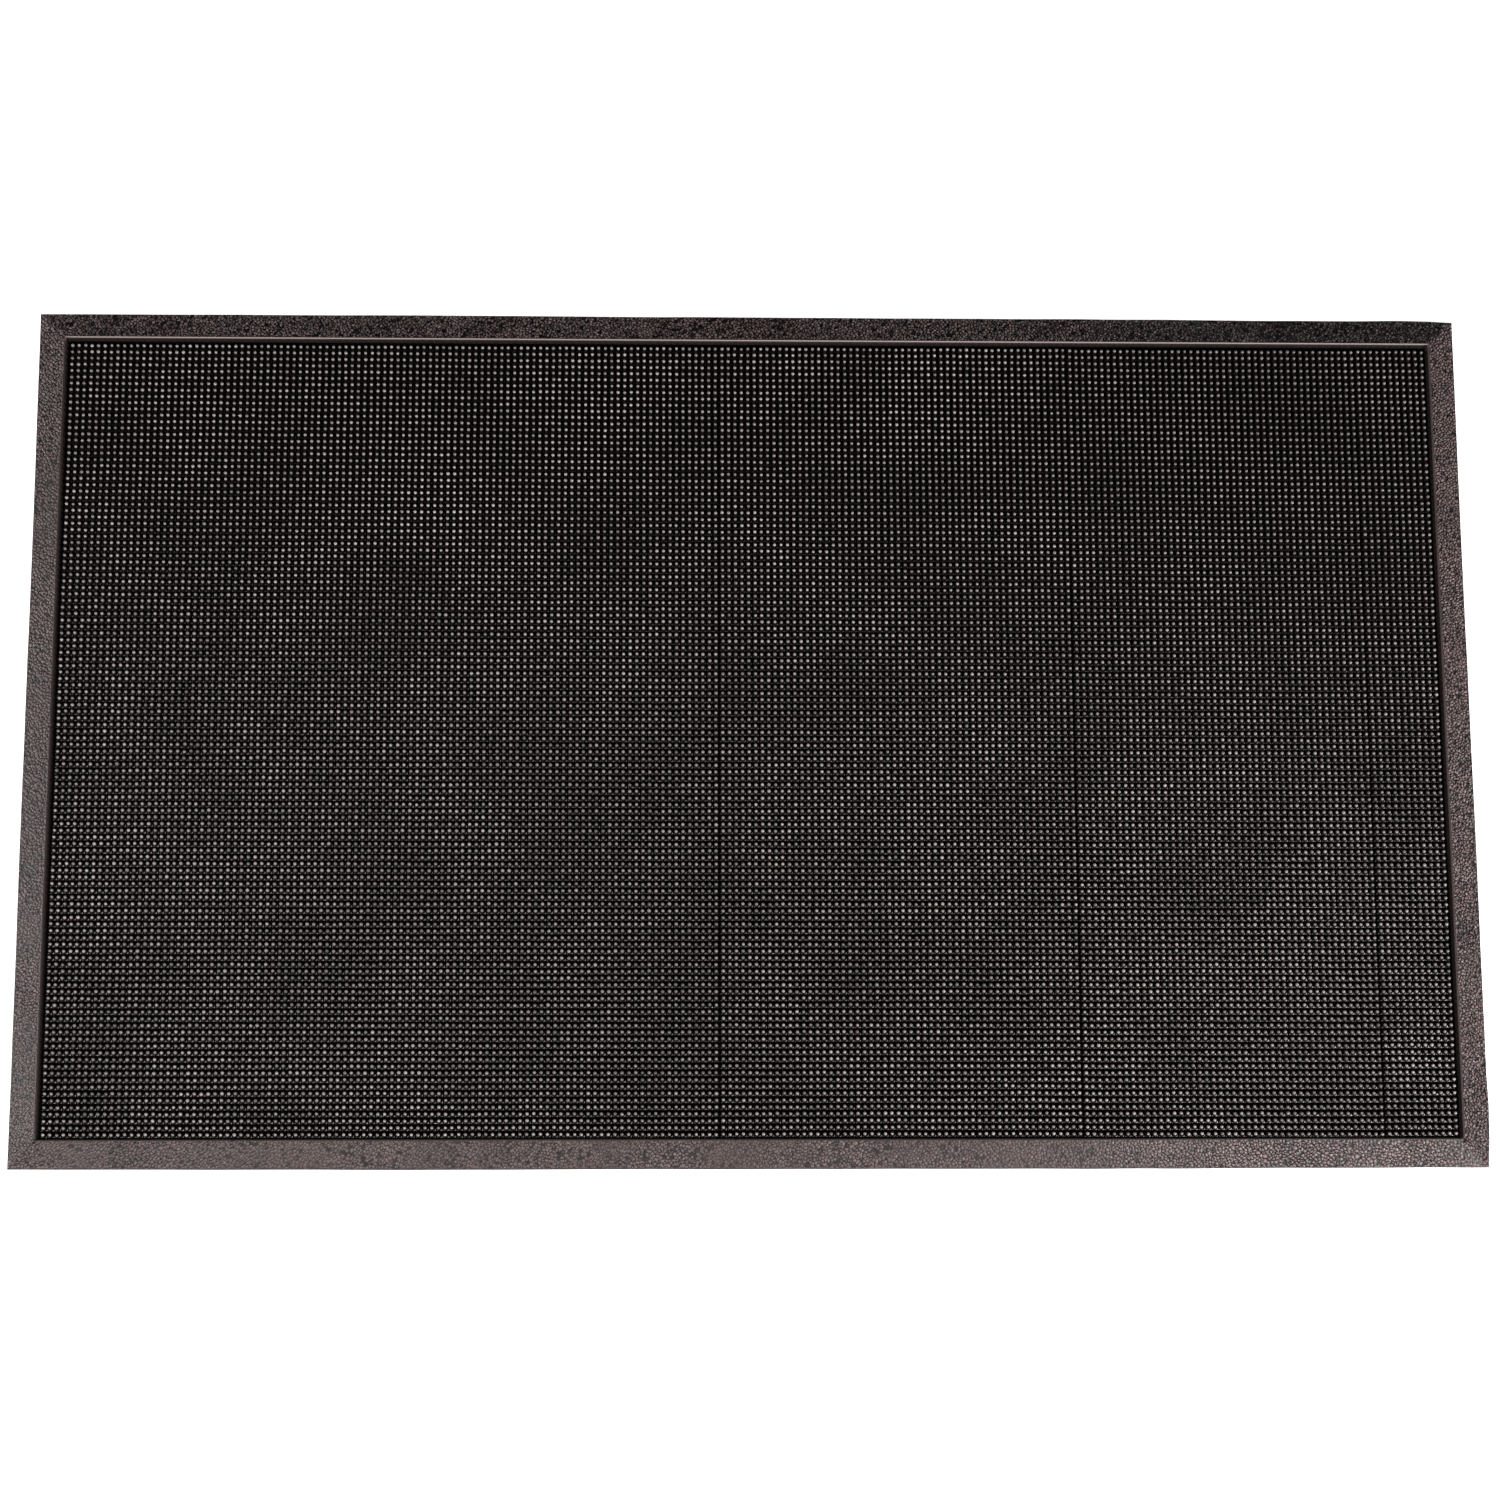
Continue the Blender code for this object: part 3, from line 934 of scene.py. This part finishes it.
def strip_points(x, y):
    """The finished points of a strip, and the numbers that they carry."""
    height = section[:, 1]
    strength = grain_strength(x, y) * ramp_share()
    pebble = pebbles(x, y)
    z = height + PEBBLE_HEIGHT * strength * (pebble - PEBBLE_MIDDLE)
    z = z - nick_depth(x, y) * smooth_step(height, NICK_FROM, NICK_FULL)
    numbers = {
        "pebble": pebble_with_painted_shade(x, y, pebble, strength).ravel(),
        "grained": np.clip(strength, 0, 1).ravel(),
        "crest_highlight": (crest_highlight_share() * np.tensordot(SIDE_CREST_HIGHLIGHT, side_shares(x, y), axes=1)).ravel(),
    }
    return np.stack([*wandered(x, y), z], -1).reshape(-1, 3), numbers


def strip_faces(steps):
    """The skin between neighbouring sections, and a flat face on each end."""
    width = len(section)
    line, place = np.meshgrid(np.arange(steps) * width, np.arange(width), indexing="ij")
    here, beside = line + place, line + (place + 1) % width
    skin = np.stack([here, here + width, beside + width, beside], -1).reshape(-1, 4)
    ends = np.stack([np.arange(width), (steps * width + np.arange(width))[::-1]])
    return [skin, ends]


print("section points on the ramp:", int((ramp_share() > 0).sum()), "and on the crest:",
      int((crest_highlight_share() > 0).sum()))

# %% [markdown]
# Each strip stands for its CAD edging. Its edges are smoothed, except where the surface turns
# sharply, as at the wall's foot and round the ends.

# %% Build the four edgings
SHARP_ANGLE = radians(50)
SIDES_OF_MAT = (
    # CAD edging, quarter turns from the front, half its length, how far out it lies
    ("front_edging", 0, half_length, half_width),
    ("right_edging", 1, half_width, half_length),
    ("back_edging", 2, half_length, half_width),
    ("left_edging", 3, half_width, half_length),
)


def edging_strip(name, turns, half_side, half_depth):
    """One side of the edging, in place of the CAD edging of this name."""
    x, y = side_grid(turns, half_side, half_depth)
    points, numbers = strip_points(x, y)
    strip = make_piece(f"{name}_strip", points, strip_faces(len(x) - 1),
                       edging_material, numbers)
    strip.data.set_sharp_from_angle(angle=SHARP_ANGLE)
    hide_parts(name)


for side in SIDES_OF_MAT:
    edging_strip(*side)

# %% [markdown]
# The mat lies on a plain pale floor that runs far past it. Small black things are often laid on a
# light table, a white top that glows a little, so that they cast hardly any shadow. A faint glow
# in the floor's material does the same here.

# %% The floor
FLOOR_SIZE = 12.0
FLOOR_DROP = 0.0002
FLOOR_COLOUR = (0.86, 0.86, 0.86, 1.0)
FLOOR_ROUGHNESS = 0.9
FLOOR_SHINE = 0.1
WHITE = (1.0, 1.0, 1.0, 1.0)
FLOOR_GLOW = 0.85


def floor():
    bpy.ops.mesh.primitive_plane_add(size=FLOOR_SIZE, location=(0.0, 0.0, -FLOOR_DROP))
    ground = bpy.context.object
    ground.name = "floor"
    material = bpy.data.materials.new("pale_floor")
    material.use_nodes = True
    shader = material.node_tree.nodes["Principled BSDF"]
    shader.inputs["Base Color"].default_value = FLOOR_COLOUR
    shader.inputs["Roughness"].default_value = FLOOR_ROUGHNESS
    shader.inputs["Specular IOR Level"].default_value = FLOOR_SHINE
    shader.inputs["Emission Color"].default_value = WHITE
    shader.inputs["Emission Strength"].default_value = FLOOR_GLOW
    ground.data.materials.append(material)


floor()
print(f"floor {FLOOR_SIZE:.0f} m wide, {1000 * FLOOR_DROP:.1f} mm under the mat")

# %% [markdown]
# Black rubber shows its shape only by what it mirrors and by which way each face is turned, so the
# light is what draws the fingers. Five soft lamps stand round the mat. The strongest is low beyond
# the front right corner, with a second above it: they light the fronts of the fingers and the lip,
# and make that corner the brightest. One on each side fills the flanks, and a small one over the
# near left lifts that end.

# %% The lamps
LAMPS = (
    # name, place, where it points, side, watts
    ("front_right_lamp", (1.462, -1.462, 0.752), (0.0, 0.0, 0.0), 0.8, 71.0),
    ("high_front_right_lamp", (1.100, -1.100, 1.556), (0.0, 0.0, 0.0), 0.8, 23.0),
    ("right_lamp", (2.067, 0.0, 0.752), (0.0, 0.0, 0.0), 0.8, 8.5),
    ("left_lamp", (-2.067, 0.0, 0.752), (0.0, 0.0, 0.0), 0.8, 27.0),
    ("near_left_lamp", (-0.7, -0.6, 1.5), (-0.2, -0.1, 0.0), 0.4, 17.5),
)


def lamp(name, place, target, side, power):
    data = bpy.data.lights.new(name, "AREA")
    data.shape, data.size, data.energy = "SQUARE", side, power
    light = bpy.data.objects.new(name, data)
    light.location = place
    light.rotation_euler = (Vector(target) - Vector(place)).to_track_quat("-Z", "Y").to_euler()
    bpy.context.scene.collection.objects.link(light)


for settings in LAMPS:
    lamp(*settings)
print("lamps:", [settings[0] for settings in LAMPS])

# %% [markdown]
# The sky around gives hardly any light, which keeps the far side of the edging dark. Seen past the
# floor's edge it would be black, though, so the camera sees it bright, as a pale backdrop: the
# Light Path node tells a ray from the camera from all others.

# %% The sky and the backdrop
SKY_STRENGTH = 0.02
BACKDROP_STRENGTH = 0.90

sky = bpy.data.worlds.new("studio_sky")
sky.use_nodes = True
background = sky.node_tree.nodes["Background"]
background.inputs["Color"].default_value = WHITE
seen = sky.node_tree.nodes.new("ShaderNodeLightPath").outputs["Is Camera Ray"]
strength = add_range(sky.node_tree, seen, 0.0, 1.0, SKY_STRENGTH, BACKDROP_STRENGTH)
sky.node_tree.links.new(strength, background.inputs["Strength"])
bpy.context.scene.world = sky
bpy.context.scene.view_settings.view_transform = "Standard"
print("sky strength:", SKY_STRENGTH, "and to the camera", BACKDROP_STRENGTH)

# %% [markdown]
# The camera looks down on the mat from above its front edge, a little left of the middle and
# turned a few degrees. A long lens keeps the sides nearly parallel. Its turn is given as three
# angles that follow each other: round the upright axis, then tipped back, then rolled.

# %% The camera
CAMERA_PLACE = Vector((-0.0509, -0.3511, 1.7140))
CAMERA_YAW, CAMERA_TILT, CAMERA_ROLL = radians(-8.297), radians(11.398), radians(8.251)
CAMERA_LENS, CAMERA_SENSOR = 79.705, 36.0

camera_data = bpy.data.cameras.new("camera")
camera_data.lens, camera_data.sensor_width = CAMERA_LENS, CAMERA_SENSOR
camera = bpy.data.objects.new("camera", camera_data)
turn = Matrix.Rotation(CAMERA_YAW, 4, "Z") @ Matrix.Rotation(CAMERA_TILT, 4, "X")
turn = turn @ Matrix.Rotation(CAMERA_ROLL, 4, "Z")
camera.matrix_world = Matrix.Translation(CAMERA_PLACE) @ turn
bpy.context.scene.collection.objects.link(camera)
bpy.context.scene.camera = camera
print("camera at", [round(value, 3) for value in CAMERA_PLACE])
